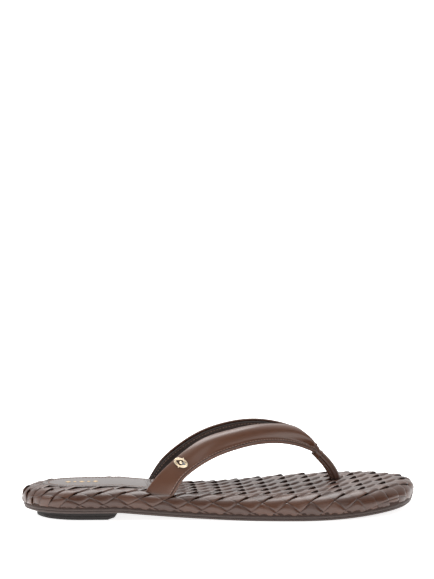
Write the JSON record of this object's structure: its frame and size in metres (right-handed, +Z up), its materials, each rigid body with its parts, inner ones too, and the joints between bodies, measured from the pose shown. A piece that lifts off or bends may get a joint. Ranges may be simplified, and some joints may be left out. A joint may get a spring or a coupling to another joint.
{
  "type": "flip flop sandal",
  "caption": "Flat right-foot thong sandal: woven leather footbed, padded V strap, rolled toe post, rubber outsole with a low heel lift.",
  "frame": {"origin": "centre of the bounding box on the ground plane", "axes": "+X from heel to toe, +Y to the inner (medial) side of the right foot, +Z up"},
  "size_m": [0.256, 0.0896, 0.0569],
  "materials": {
    "brown_leather": "smooth aniline-dyed calf leather, satin",
    "lining_leather": "dark smooth lining leather, dull",
    "outsole_rubber": "moulded brown rubber, matt",
    "cushion_foam": "closed-cell foam",
    "fibre_board": "pressed cellulose board",
    "nylon_webbing": "woven nylon tape",
    "steel": "plain steel",
    "gold_plate": "polished pale gold plate"
  },
  "bodies": {
    "root": {"outsole": "outsole_rubber", "heel_lift": "outsole_rubber", "heel_nail_1": "steel", "heel_nail_2": "steel", "heel_nail_3": "steel", "heel_nail_4": "steel", "heel_nail_5": "steel", "bottom_filler": "cushion_foam", "shank": "steel", "insole_board": "fibre_board", "footbed_foam": "cushion_foam", "woven_cover": "brown_leather", "heel_sock": "brown_leather", "lateral_strap_outer": "brown_leather", "lateral_strap_padding": "cushion_foam", "lateral_strap_tape": "nylon_webbing", "lateral_strap_lining": "lining_leather", "lateral_strap_tail": "brown_leather", "medial_strap_outer": "brown_leather", "medial_strap_padding": "cushion_foam", "medial_strap_tape": "nylon_webbing", "medial_strap_lining": "lining_leather", "medial_strap_tail": "brown_leather", "toe_post_cover": "brown_leather", "toe_post_core": "nylon_webbing", "toe_post_anchor": "steel", "ornament": "gold_plate", "ornament_washer": "gold_plate"}
  },
  "joints": []
}
